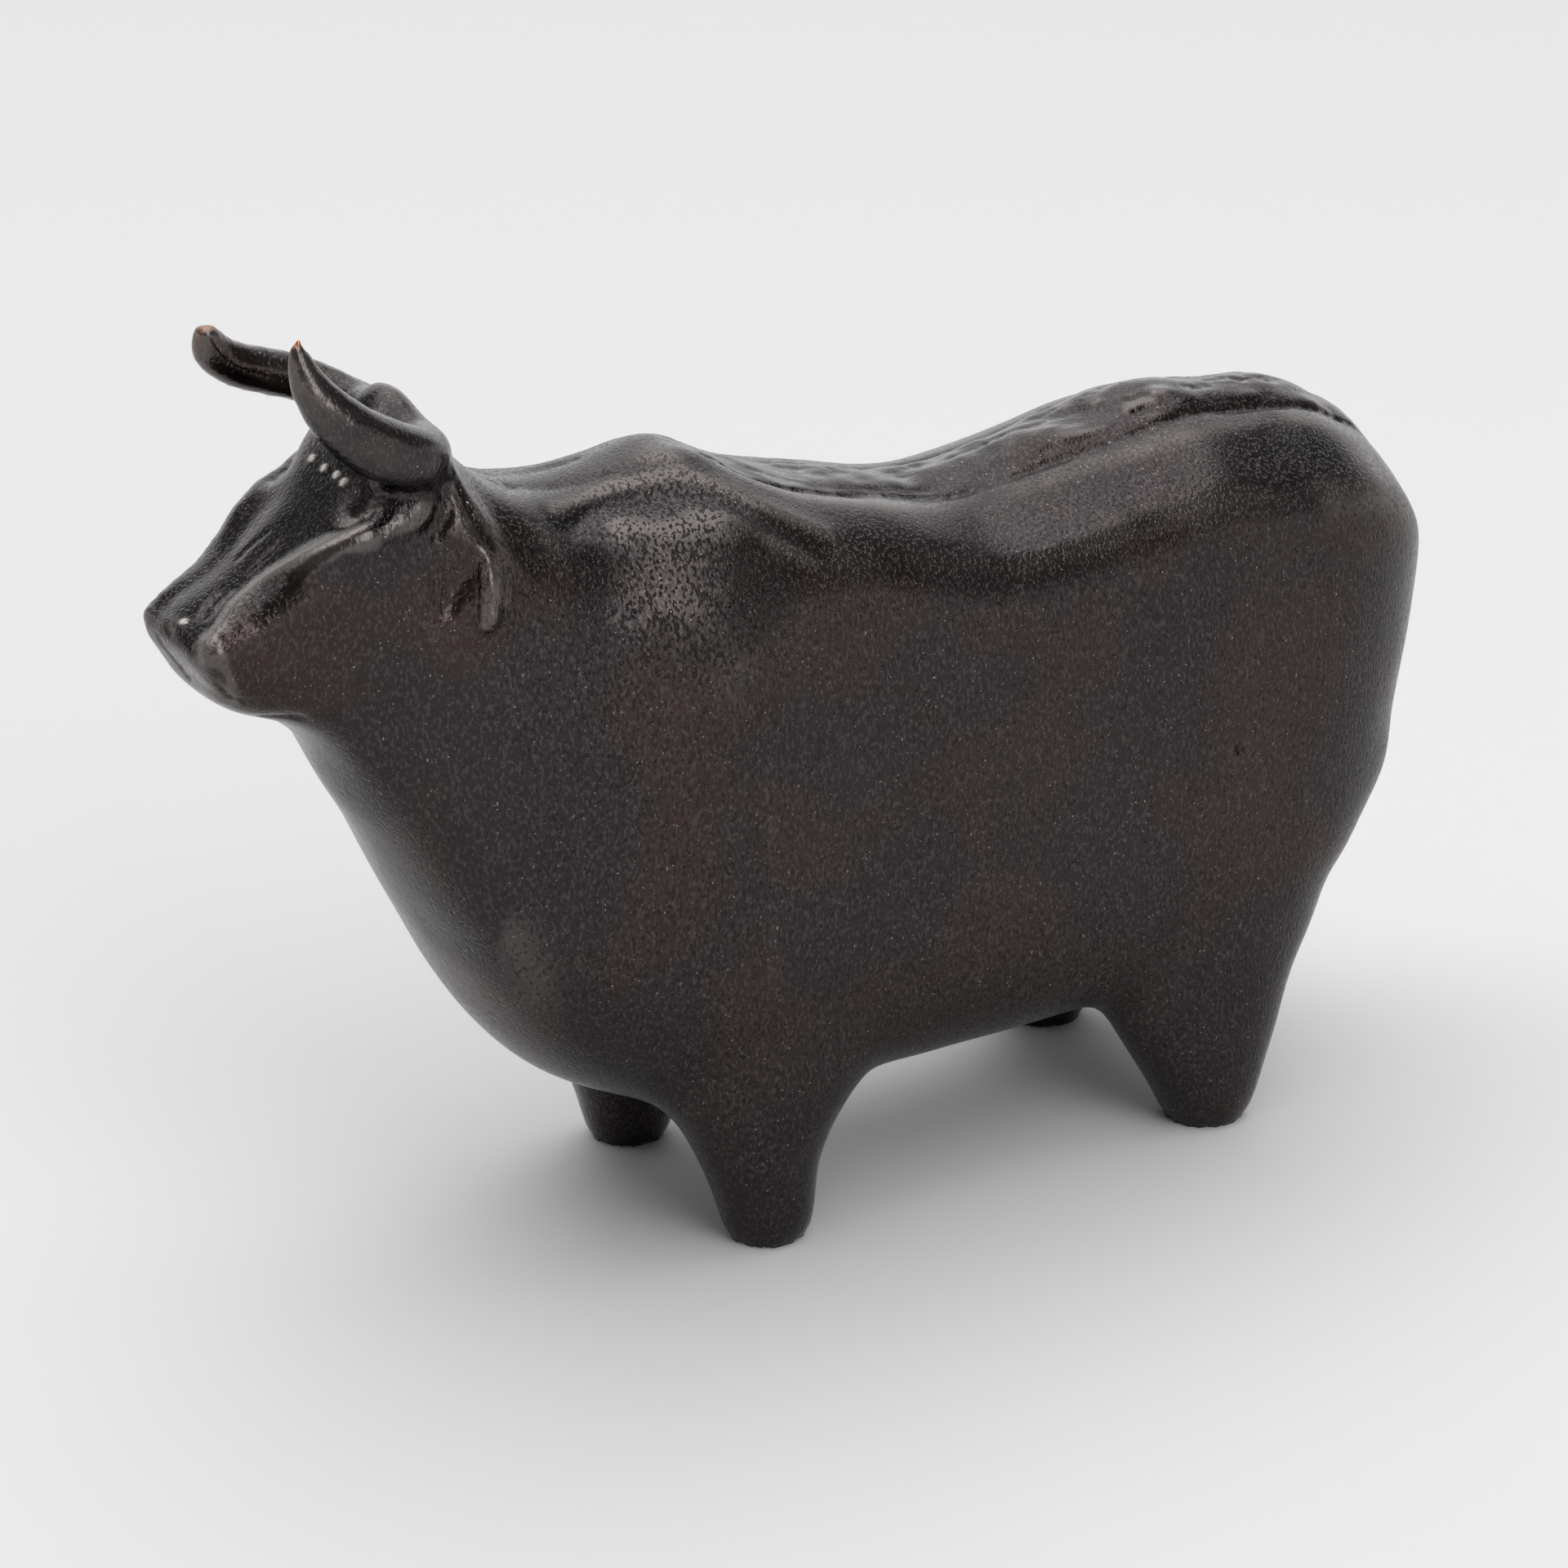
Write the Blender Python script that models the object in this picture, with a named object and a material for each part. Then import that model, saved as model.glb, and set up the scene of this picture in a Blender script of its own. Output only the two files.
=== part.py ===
"""A cast bronze bull: deep chest, flat flanks, stub legs, wedge head and forward-swept horns.

The bull faces -Y and stands on z = 0, and +X is its own left side. The whole figure is one
casting, so it is one object. Its forms are lofted through sections, fused into one skin, and
then worked over with a few sculptor's strokes.
"""

import math
from collections import namedtuple

import bmesh
import bpy
import numpy as np
from mathutils import Vector
from mathutils.bvhtree import BVHTree

# Driving sizes, in metres.
LENGTH = 0.304  # muzzle to rump
WIDTH = 0.083  # across the hind legs, where it is widest
WITHERS_HEIGHT = 0.170  # floor to the top of the shoulders
FOOT_WIDTH = 0.019  # across one foot, just above the sole
HORN_THICKNESS = 0.0132  # through the thickest part of a horn

# The tables below are a drawing in millimetres, made at these sizes and stretched to the ones above.
# In the drawing y = 0 is the axis through the front feet, and +Y is towards the tail.
DRAWN_LENGTH = 304.0
DRAWN_WIDTH = 83.0
DRAWN_WITHERS_HEIGHT = 170.0
DRAWN_FOOT_WIDTH = 19.0
DRAWN_HORN_THICKNESS = 13.2

STRETCH = np.array([WIDTH / DRAWN_WIDTH, LENGTH / DRAWN_LENGTH, WITHERS_HEIGHT / DRAWN_WITHERS_HEIGHT])
FOOT_SCALE = FOOT_WIDTH * 1000 / DRAWN_FOOT_WIDTH
HORN_SCALE = HORN_THICKNESS * 1000 / DRAWN_HORN_THICKNESS

# A section across the figure. It leans: its top is at y_top and its underside at y_keel.
# edge, upper, flank and belly are (x, z) points down its left side.
Section = namedtuple("Section", "y_top y_keel z_top edge upper flank belly z_keel")
SECTIONS = (
    Section(-120.0, -114.0, 149.7, (11.5, 148.5), (12.5, 146.0), (11.5, 142.0), (7.5, 138.5), 137.5),
    Section(-118.0, -111.5, 151.3, (14.0, 150.0), (15.2, 146.5), (14.0, 141.0), (9.5, 136.5), 135.0),
    Section(-113.0, -105.5, 155.2, (15.7, 153.8), (16.7, 149.5), (16.0, 141.5), (11.5, 134.0), 131.5),
    Section(-104.0, -98.0, 160.5, (16.6, 159.0), (18.0, 153.0), (17.8, 142.0), (13.0, 132.0), 128.3),
    Section(-94.5, -90.0, 168.0, (19.3, 166.2), (20.5, 157.0), (19.5, 142.0), (15.5, 127.0), 120.7),
    Section(-85.0, -83.6, 176.0, (20.3, 172.2), (21.5, 160.0), (21.5, 140.0), (18.0, 117.5), 107.5),
    Section(-78.0, -77.0, 187.0, (18.5, 179.5), (22.0, 162.5), (23.5, 138.0), (21.0, 108.0), 96.5),
    Section(-68.5, -66.5, 193.0, (15.5, 182.5), (23.0, 162.0), (26.5, 133.0), (25.0, 90.0), 75.5),
    Section(-59.0, -55.5, 178.5, (15.0, 173.0), (24.0, 156.0), (30.0, 122.0), (28.0, 72.0), 54.5),
    Section(-48.0, -43.5, 169.5, (16.0, 166.5), (26.0, 152.0), (33.0, 112.0), (30.0, 59.0), 40.5),
    Section(-34.0, -31.5, 167.0, (13.0, 164.3), (28.5, 148.0), (36.0, 105.0), (32.0, 48.0), 33.0),
    Section(-20.0, -17.0, 168.0, (10.0, 166.5), (31.0, 148.0), (39.0, 100.0), (34.5, 41.0), 29.0),
    Section(-8.0, -8.0, 169.6, (9.8, 168.2), (33.0, 148.0), (40.3, 95.0), (35.0, 38.5), 27.5),
    Section(4.0, 4.0, 165.0, (14.5, 163.5), (34.5, 146.0), (40.3, 92.0), (34.5, 37.0), 27.5),
    Section(18.0, 18.0, 159.0, (21.0, 156.0), (35.0, 141.0), (39.3, 88.0), (33.5, 35.7), 29.0),
    Section(35.0, 35.0, 155.2, (23.0, 151.3), (35.0, 136.0), (39.3, 86.0), (33.2, 35.2), 30.5),
    Section(60.0, 60.0, 151.5, (23.5, 145.3), (35.5, 133.0), (39.8, 84.0), (33.0, 34.8), 31.0),
    Section(88.0, 88.0, 156.6, (24.0, 147.6), (36.0, 133.0), (40.0, 82.0), (33.0, 35.5), 31.5),
    Section(112.0, 108.5, 160.5, (26.3, 150.0), (36.8, 134.0), (40.3, 82.0), (33.5, 37.0), 32.0),
    Section(136.0, 123.5, 158.8, (26.5, 147.0), (36.0, 132.0), (40.0, 83.0), (34.0, 42.0), 37.0),
)
RUMP_DEPTH = 49.5  # how far the rump swells behind the last section
RUMP_MIDDLE = 107.5  # height of its rearmost point
RUMP_FULLNESS = (2.6, 1.8)  # seen from above and from the side: 2 is an ellipse, more is fuller

# A leg, from the sole up: (z, centre y, half length, centre x, half width).
FRONT_LEG = (
    (-1.5, 0.2, 7.3, 28.8, 7.3),
    (0.0, 0.2, 8.4, 28.8, 8.4),
    (2.0, 0.2, 9.5, 28.8, 9.4),
    (8.0, 0.0, 10.9, 28.6, 10.5),
    (15.0, -0.9, 12.5, 28.2, 11.4),
    (22.0, -1.0, 15.6, 27.6, 12.6),
    (29.0, 0.0, 20.6, 26.9, 13.6),
    (38.0, 1.5, 29.0, 26.0, 14.3),
    (52.0, 1.5, 31.0, 24.0, 15.0),
)
REAR_LEG = (
    (-1.5, 113.5, 7.9, 31.6, 7.8),
    (0.0, 113.5, 9.0, 31.6, 8.9),
    (2.0, 113.6, 10.4, 31.5, 9.8),
    (8.0, 113.4, 13.2, 31.2, 10.9),
    (20.0, 112.6, 19.9, 29.8, 11.9),
    (29.0, 112.0, 24.6, 28.4, 12.8),
    (38.0, 113.5, 29.6, 27.2, 13.5),
    (52.0, 119.0, 30.5, 25.5, 14.5),
    (72.0, 130.0, 35.0, 24.0, 14.5),
    (92.0, 132.0, 36.5, 21.0, 14.0),
)

# The horns: (x, y, z, radius) along each. They were shaped by hand and are not a mirrored pair.
LEFT_HORN = (
    (6.0, -68.5, 181.0, 6.4),
    (15.0, -70.0, 182.5, 6.4),
    (20.5, -75.0, 184.0, 6.6),
    (22.0, -83.0, 187.7, 6.6),
    (22.0, -90.8, 193.5, 6.0),
    (20.5, -96.6, 201.3, 4.4),
    (18.9, -98.4, 208.3, 2.7),
    (18.5, -98.6, 211.2, 1.8),
)
RIGHT_HORN = (
    (-6.0, -68.0, 182.0, 6.4),
    (-15.0, -70.0, 185.0, 5.6),
    (-20.0, -76.0, 188.6, 5.0),
    (-21.5, -84.0, 191.7, 5.0),
    (-22.0, -91.5, 194.3, 4.9),
    (-21.5, -96.8, 198.2, 4.5),
    (-20.0, -98.7, 202.4, 3.5),
)

# An ear: (x, y, z, half width along the neck, half thickness) from the horn down to the tip.
EAR = (
    (17.0, -68.0, 178.0, 3.5, 3.0),
    (20.5, -65.0, 170.0, 5.0, 3.0),
    (24.0, -61.5, 162.0, 4.6, 2.6),
    (26.5, -61.5, 154.0, 4.2, 2.2),
    (28.0, -63.7, 151.0, 2.8, 1.6),
)

# A stroke of the sculptor's tool along a path on the skin. height is up from the skin, or down
# into it when negative, and width is the distance over which it fades away on each side.
Stroke = namedtuple("Stroke", "width height path")
PAIRED_STROKES = (  # drawn on the left, and worked on both sides
    Stroke(2.2, 0.9, ((14.0, -116.5, 151), (15.7, -110, 156), (16.5, -105, 159.5), (18, -97, 163.5),
                      (20, -89, 168), (21, -82, 170), (21.7, -76, 171), (22, -72.5, 174), (21, -71, 177))),
    Stroke(3.6, -1.6, ((17.5, -85, 174), (18.5, -78, 176.5))),  # the eye hollow
    Stroke(2.2, 0.8, ((20, -75.5, 172), (20, -73.5, 175))),  # the socket behind it
    Stroke(1.5, -1.1, ((21.5, -68.5, 178), (22.7, -70, 174.5), (23.5, -72.5, 170.5))),
    Stroke(1.7, -1.5, ((20, -65.8, 180), (22.5, -64.5, 175), (25, -62, 169), (27, -59.5, 163))),
    Stroke(2.8, -1.3, ((25.5, -66.5, 162), (26, -69.5, 157), (26, -72.5, 153))),
    Stroke(4.5, -0.7, ((9, -111, 158), (9.5, -102, 164), (10, -93, 170))),  # the hollow of the face
    Stroke(1.5, -1.2, ((11, -114.5, 158), (10.3, -116.5, 156))),  # the gouge above the nostril
    Stroke(1.2, -1.2, ((7.0, -118.8, 154.5), (6.7, -119.2, 154.0))),  # the nostril
    Stroke(1.6, -0.8, ((10, -105, 132.5), (13, -102, 131), (17, -99.5, 131))),
    Stroke(1.4, -1.1, ((7, 0, 167), (9, 5, 164), (10, 13, 161.5), (11, 30, 156.5))),
    Stroke(2.6, -1.5, ((9, 6, 164), (10, 13, 161.5), (11, 30, 156.5), (11, 54, 151), (11, 82, 151),
                       (12, 102, 152), (12, 123, 156), (11, 145, 153.5), (9, 160, 147))),
    Stroke(1.6, -0.9, ((5, -52, 173), (5.5, -41, 169), (6.5, -30, 167), (7, -18, 168))),
    Stroke(12.0, 1.2, ((33, -18, 146), (36, -14, 132))),  # the point of the shoulder
    Stroke(11.0, -0.5, ((39, 24, 124), (39.5, 23, 90), (38, 24, 62))),
    Stroke(13.0, -0.5, ((39, 92, 118), (39.5, 93, 90), (38, 94, 62))),
)
SINGLE_STROKES = (
    Stroke(1.2, -0.7, ((-11, -113, 143.5), (-5, -117, 141.5), (5, -117, 141.5), (12, -112, 141))),  # the mouth
    Stroke(3.2, 1.6, ((0, 163, 149), (0, 176, 136), (0, 181, 118), (0, 178, 98), (0, 170, 76))),  # the tail
    Stroke(1.8, -0.8, ((-7, 163, 148), (0, 164, 149.5), (7, 163, 148))),  # the notch at its root
    Stroke(7.0, 0.9, ((-5, 108, 161), (6, 118, 161))),  # lumps left along the spine
    Stroke(6.0, -0.8, ((-4, 90, 158), (5, 97, 159))),
    Stroke(5.0, 0.8, ((2, 78, 156), (-3, 84, 157))),
)

SKIN_GRAIN = 1.4  # size of the squares that the forms are fused at
SMOOTHING = 5  # passes of the smoother over the whole skin
JOIN_SMOOTHING = 26  # passes over the joins of the legs and the belly
BELLY_JOIN = (36.0, 9.0)  # height of those joins, and how far up and down they are softened
HORN_JOIN = 7.0  # radius softened round the root of a horn
TRIANGLES = 9500  # on the finished solid

BRONZE_COLOUR = (0.030, 0.024, 0.023, 1.0)
BRONZE_ROUGHNESS = 0.45
BRONZE_METALLIC = 0.6


def catmull_rom(points, steps, closed=False):
    """A smooth curve through rows of numbers: `steps` samples for each span."""
    points = np.asarray(points, float)
    if closed:
        padded = np.concatenate([points[-1:], points, points[:2]])
    else:
        padded = np.concatenate([2 * points[:1] - points[1:2], points, 2 * points[-1:] - points[-2:-1]])
    spans = len(padded) - 3
    share = np.arange(steps).reshape((-1,) + (1,) * (points.ndim - 1)) / steps
    curve = []
    for i in range(spans):
        a, b, c, d = padded[i : i + 4]
        bend = (2 * a - 5 * b + 4 * c - d) * share**2 + (3 * b - a - 3 * c + d) * share**3
        curve.append(b + 0.5 * ((c - a) * share + bend))
    if not closed:
        curve.append(points[-1:])
    return np.concatenate(curve)


def loft(rings):
    """(points, faces) of a closed tube through rings that have the same number of points."""
    count = len(rings[0])
    points = np.concatenate(rings)
    faces = [tuple(reversed(range(count))), tuple(range(len(points) - count, len(points)))]
    for ring in range(len(rings) - 1):
        for i in range(count):
            j = (i + 1) % count
            low, high = ring * count, (ring + 1) * count
            faces.append((low + i, low + j, high + j, high + i))
    return points, faces


def section_points(section):
    """The whole outline of one section, top first, going down the left side and up the right."""
    left = [section.edge, section.upper, section.flank, section.belly]
    outline = [(0.0, section.z_top), *left, (0.0, section.z_keel), *[(-x, z) for x, z in reversed(left)]]
    lean = (section.y_top - section.y_keel) / (section.z_top - section.z_keel)
    return [(x, section.y_keel + lean * (z - section.z_keel), z) for x, z in outline]


def trunk():
    """Head, neck, chest, barrel and rump as one loft, closed behind by a rounded rump."""
    cage = catmull_rom([section_points(section) for section in SECTIONS], 6)
    rings = [catmull_rom(ring, 6, closed=True) for ring in cage]
    last = rings[-1]
    middle = np.array([0.0, last[0][1], RUMP_MIDDLE])
    for angle in np.radians((10, 20, 30, 40, 49, 57, 65, 72, 79, 85)):
        across, upright = (math.cos(angle) ** (2 / fullness) for fullness in RUMP_FULLNESS)
        ring = middle + (last - middle) * np.array([across, 1.0, upright])
        ring[:, 1] = last[:, 1] + RUMP_DEPTH * math.sin(angle)
        rings.append(ring)
    return loft(rings)


def leg(rows, side):
    """A stub leg that widens into the body. side is 1 for left and -1 for right."""
    rings = []
    for z, y, half_length, x, half_width in catmull_rom(rows, 4):
        foot_share = FOOT_SCALE if z < 0.2 * DRAWN_FOOT_WIDTH else 1 + (FOOT_SCALE - 1) * math.exp(-z / DRAWN_FOOT_WIDTH)
        turn = np.linspace(0, 2 * math.pi, 32, endpoint=False)
        ring = np.stack([
            side * (x + half_width * foot_share * np.cos(turn)),
            y + half_length * foot_share * np.sin(turn),
            np.full(32, z),
        ], axis=1)
        rings.append(ring[::side])
    return loft(rings)


def tube(rows, flatten=None):
    """A tapering tube through (x, y, z, radius) rows; with flatten, rows end in two half sizes."""
    rows = catmull_rom(rows, 5)
    path = rows[:, :3]
    along = np.gradient(path, axis=0)
    along /= np.linalg.norm(along, axis=1)[:, None]
    side = np.array(flatten if flatten else (0.0, 0.3, 1.0))
    turn = np.linspace(0, 2 * math.pi, 24, endpoint=False)[:, None]
    rings = []
    for centre, direction, sizes in zip(path, along, rows[:, 3:]):
        wide = np.cross(side, direction)
        wide /= np.linalg.norm(wide)
        thick = np.cross(direction, wide)
        a, b = (sizes[0], sizes[1]) if flatten else (sizes[0], sizes[0])
        rings.append(centre + a * np.cos(turn) * wide + b * np.sin(turn) * thick)
    end = rings[-1] - path[-1]
    for angle in np.radians((35, 65)):
        rings.append(path[-1] + end * math.cos(angle) + along[-1] * rows[-1, -1] * math.sin(angle))
    return loft(rings)


def horn(rows):
    scaled = [(x, y, z, radius * HORN_SCALE) for x, y, z, radius in rows]
    return tube(scaled)


def ear(side):
    rows = [(side * x, y, z, wide, thick) for x, y, z, wide, thick in EAR]
    return tube(rows, flatten=(side * 1.0, 0.0, 0.35))


def joined(forms):
    """One mesh of all the forms, in metres. They overlap here and are fused later."""
    points, faces, start = [], [], 0
    for form_points, form_faces in forms:
        points.append(form_points)
        faces += [[start + i for i in face] for face in form_faces]
        start += len(form_points)
    mesh = bpy.data.meshes.new("forms")
    mesh.from_pydata((np.concatenate(points) * STRETCH).tolist(), [], faces)
    bm = bmesh.new()
    bm.from_mesh(mesh)
    bmesh.ops.recalc_face_normals(bm, faces=bm.faces)
    bm.to_mesh(mesh)
    bm.free()
    return mesh


def with_modifier(mesh, kind, **settings):
    """The mesh that a modifier makes of this one."""
    helper = bpy.data.objects.new("helper", mesh)
    bpy.context.scene.collection.objects.link(helper)
    modifier = helper.modifiers.new("modifier", kind)
    for name, value in settings.items():
        setattr(modifier, name, value)
    bpy.context.view_layer.update()
    made = bpy.data.meshes.new_from_object(helper.evaluated_get(bpy.context.evaluated_depsgraph_get()))
    bpy.data.objects.remove(helper, do_unlink=True)
    bpy.data.meshes.remove(mesh)
    return made


def coordinates(mesh):
    """The mesh's points in the drawing's millimetres."""
    flat = np.empty(len(mesh.vertices) * 3)
    mesh.vertices.foreach_get("co", flat)
    return flat.reshape(-1, 3) / STRETCH


def move_to(mesh, points):
    mesh.vertices.foreach_set("co", (points * STRETCH).ravel())
    mesh.update()


def normals(mesh):
    flat = np.empty(len(mesh.vertices) * 3)
    mesh.vertices.foreach_get("normal", flat)
    return flat.reshape(-1, 3)


def smoothed(mesh, points, weight, passes):
    """Points drawn towards the mean of their neighbours, by a weight from 0 to 1 each pass."""
    ends = np.empty(len(mesh.edges) * 2, int)
    mesh.edges.foreach_get("vertices", ends)
    ends = ends.reshape(-1, 2)
    neighbours = np.bincount(ends.ravel(), minlength=len(points))[:, None]
    for _ in range(passes):
        total = np.stack([
            np.bincount(ends[:, 0], points[ends[:, 1], axis], len(points))
            + np.bincount(ends[:, 1], points[ends[:, 0], axis], len(points))
            for axis in range(3)
        ], axis=1)
        points = points + 0.6 * weight[:, None] * (total / neighbours - points)
    return points


def soften(mesh):
    """Round the whole skin a little, and more where the legs and horns grow out of it."""
    points = coordinates(mesh)
    points = smoothed(mesh, points, np.ones(len(points)), SMOOTHING)
    height, reach = BELLY_JOIN
    weight = np.exp(-(((points[:, 2] - height) / reach) ** 2))
    for root in (LEFT_HORN[1], RIGHT_HORN[1]):
        distance = np.linalg.norm(points - np.array(root[:3]), axis=1)
        weight = np.maximum(weight, np.exp(-((distance / HORN_JOIN) ** 2)))
    move_to(mesh, smoothed(mesh, points, weight, JOIN_SMOOTHING))


def distance_to_path(points, path):
    nearest = np.full(len(points), np.inf)
    for start, end in zip(path[:-1], path[1:]):
        along = end - start
        share = np.clip((points - start) @ along / (along @ along), 0.0, 1.0)
        distance = np.linalg.norm(points - start - share[:, None] * along, axis=1)
        nearest = np.minimum(nearest, distance)
    return nearest


def work(mesh, strokes):
    """Raise or sink the skin along each stroke, after laying its path down on the skin."""
    faces = [tuple(face.vertices) for face in mesh.polygons]
    skin = BVHTree.FromPolygons(coordinates(mesh).tolist(), faces)
    for stroke in strokes:
        points = coordinates(mesh)
        path = [np.array(skin.find_nearest(Vector(place))[0]) for place in stroke.path]
        fade = np.exp(-((distance_to_path(points, path) / stroke.width) ** 2))
        move_to(mesh, points + stroke.height * fade[:, None] * normals(mesh))


def mirrored(stroke):
    return stroke._replace(path=[(-x, y, z) for x, y, z in stroke.path])


def flat_soles(mesh):
    """Cut the feet off level with the floor and close them."""
    bm = bmesh.new()
    bm.from_mesh(mesh)
    cut = bmesh.ops.bisect_plane(
        bm, geom=bm.verts[:] + bm.edges[:] + bm.faces[:], plane_co=(0, 0, 0), plane_no=(0, 0, 1),
        clear_inner=True, dist=1e-6,
    )
    rim = [piece for piece in cut["geom_cut"] if isinstance(piece, bmesh.types.BMEdge)]
    bmesh.ops.holes_fill(bm, edges=rim)
    bmesh.ops.triangulate(bm, faces=bm.faces)
    bmesh.ops.recalc_face_normals(bm, faces=bm.faces)
    bm.to_mesh(mesh)
    bm.free()


def centre_on_floor(mesh):
    """Put the origin at the bottom centre of the bounding box."""
    points = coordinates(mesh)
    low, high = points.min(axis=0), points.max(axis=0)
    move_to(mesh, points - np.array([(low[0] + high[0]) / 2, (low[1] + high[1]) / 2, low[2]]))


def bronze():
    material = bpy.data.materials.new("bronze")
    material.use_nodes = True
    surface = material.node_tree.nodes["Principled BSDF"]
    surface.inputs["Base Color"].default_value = BRONZE_COLOUR
    surface.inputs["Roughness"].default_value = BRONZE_ROUGHNESS
    surface.inputs["Metallic"].default_value = BRONZE_METALLIC
    return material


def build():
    for old in list(bpy.data.objects):
        bpy.data.objects.remove(old, do_unlink=True)
    forms = [trunk(), horn(LEFT_HORN), horn(RIGHT_HORN), ear(1), ear(-1)]
    forms += [leg(rows, side) for rows in (FRONT_LEG, REAR_LEG) for side in (1, -1)]
    grain = SKIN_GRAIN * LENGTH / DRAWN_LENGTH
    mesh = with_modifier(joined(forms), "REMESH", mode="VOXEL", voxel_size=grain, use_smooth_shade=True)
    soften(mesh)
    work(mesh, [worked for stroke in PAIRED_STROKES for worked in (stroke, mirrored(stroke))])
    work(mesh, SINGLE_STROKES)
    corners = sum(len(face.vertices) - 2 for face in mesh.polygons)
    mesh = with_modifier(mesh, "DECIMATE", ratio=TRIANGLES / corners)
    flat_soles(mesh)
    centre_on_floor(mesh)
    mesh.shade_smooth()
    mesh.name = "bull"
    mesh.materials.append(bronze())
    bull = bpy.data.objects.new("bull", mesh)
    bpy.context.scene.collection.objects.link(bull)


if __name__ == "__main__":
    build()
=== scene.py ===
"""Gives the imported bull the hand-worked skin and dark patina of a small bronze, in a pale studio.

The file is laid out as an add-on and is run as a script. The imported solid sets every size. Its skin
is copied here, made finer, and worked over with the marks that the solid is too coarse to hold.
The bull faces -Y, stands on z = 0, and +X is its own left side.
"""

import math
from collections import namedtuple

import bmesh
import bpy
import numpy as np
from bpy.props import FloatProperty, FloatVectorProperty, IntProperty, PointerProperty
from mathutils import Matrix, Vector, noise
from mathutils.bvhtree import BVHTree


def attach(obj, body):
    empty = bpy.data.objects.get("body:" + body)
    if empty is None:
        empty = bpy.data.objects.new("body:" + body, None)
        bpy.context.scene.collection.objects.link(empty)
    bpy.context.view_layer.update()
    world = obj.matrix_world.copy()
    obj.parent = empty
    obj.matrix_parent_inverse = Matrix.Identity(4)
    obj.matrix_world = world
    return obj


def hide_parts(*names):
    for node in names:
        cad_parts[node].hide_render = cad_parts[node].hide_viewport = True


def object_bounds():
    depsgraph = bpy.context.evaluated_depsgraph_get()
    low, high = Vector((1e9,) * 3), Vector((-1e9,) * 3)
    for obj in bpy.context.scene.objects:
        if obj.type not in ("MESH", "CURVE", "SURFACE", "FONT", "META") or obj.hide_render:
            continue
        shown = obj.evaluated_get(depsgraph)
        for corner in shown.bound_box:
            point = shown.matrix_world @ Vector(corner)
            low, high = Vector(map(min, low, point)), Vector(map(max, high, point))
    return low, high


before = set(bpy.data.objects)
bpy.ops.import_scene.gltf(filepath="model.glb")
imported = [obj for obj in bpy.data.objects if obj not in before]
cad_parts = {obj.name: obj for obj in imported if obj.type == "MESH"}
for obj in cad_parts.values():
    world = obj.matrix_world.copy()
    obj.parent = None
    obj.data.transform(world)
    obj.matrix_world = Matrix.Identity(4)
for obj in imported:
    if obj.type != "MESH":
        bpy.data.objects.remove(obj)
CAD_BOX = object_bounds()

bl_info = {
    "name": "Bronze Bull",
    "version": (1, 0, 0),
    "blender": (4, 5, 0),
    "location": "3D View > Sidebar > Bronze Bull",
    "description": "Works and patinates a cast bronze bull, and sets it in a pale studio",
    "category": "Object",
}

MM = 0.001

# Marks are drawn in millimetres on a bull of this size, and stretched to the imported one.
DRAWN_BOX = np.array([84.1, 304.6, 212.3])
STRETCH = np.array([high - low for low, high in zip(*CAD_BOX)]) / (DRAWN_BOX * MM)


def linear(hex_colour):
    """The linear RGBA of an sRGB hex colour such as '#2b2624'."""
    shares = [int(hex_colour[i : i + 2], 16) / 255 for i in (1, 3, 5)]
    return (*[c / 12.92 if c <= 0.04045 else ((c + 0.055) / 1.055) ** 2.4 for c in shares], 1.0)


class BullSettings(bpy.types.PropertyGroup):
    skin: FloatProperty(
        name="Skin", description="Side of the squares that the skin is made of",
        default=1.6 * MM, min=1.0 * MM, max=4.0 * MM, precision=5, unit="LENGTH",
    )
    waviness: FloatProperty(
        name="Waviness", description="How far the hand-smoothed surface swells and dips",
        default=0.28 * MM, min=0.0, max=1.0 * MM, precision=5, unit="LENGTH",
    )
    grain: FloatProperty(
        name="Grain", description="Distance between the grains left by the casting mould",
        default=0.7 * MM, min=0.3 * MM, max=4.0 * MM, precision=5, unit="LENGTH",
    )
    grain_depth: FloatProperty(
        name="Grain Depth", description="Depth of that grain",
        default=0.24 * MM, min=0.0, max=2.0 * MM, precision=5, unit="LENGTH",
    )
    seed: IntProperty(
        name="Seed", description="Which scatter of tool marks is drawn", default=7, min=0,
    )
    black: FloatVectorProperty(
        name="Black Patina", description="Colour of the cool, black patches of the patina",
        subtype="COLOR", size=4, min=0.0, max=1.0, default=linear("#363334"),
    )
    brown: FloatVectorProperty(
        name="Brown Patina", description="Colour of the warm, brown patches of the patina",
        subtype="COLOR", size=4, min=0.0, max=1.0, default=linear("#3f3534"),
    )
    rubbed: FloatVectorProperty(
        name="Rubbed Patina",
        description="Colour of the thin patina on the high spots of the grain",
        subtype="COLOR", size=4, min=0.0, max=1.0, default=linear("#57504f"),
    )
    # Also the colour of the highlight painted along edges, along the rib of the face and round the
    # eye.
    edge: FloatVectorProperty(
        name="Rubbed Edges", description="Colour of the thin patina along edges",
        subtype="COLOR", size=4, min=0.0, max=1.0, default=linear("#7d7775"),
    )
    glint: FloatVectorProperty(
        name="Glints",
        description="Colour of the pin-points of metal that shine through the patina",
        subtype="COLOR", size=4, min=0.0, max=1.0, default=linear("#8d857d"),
    )
    copper: FloatVectorProperty(
        name="Bare Bronze",
        description="Colour of the metal where hands have worn the patina away",
        subtype="COLOR", size=4, min=0.0, max=1.0, default=linear("#b98562"),
    )


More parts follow.
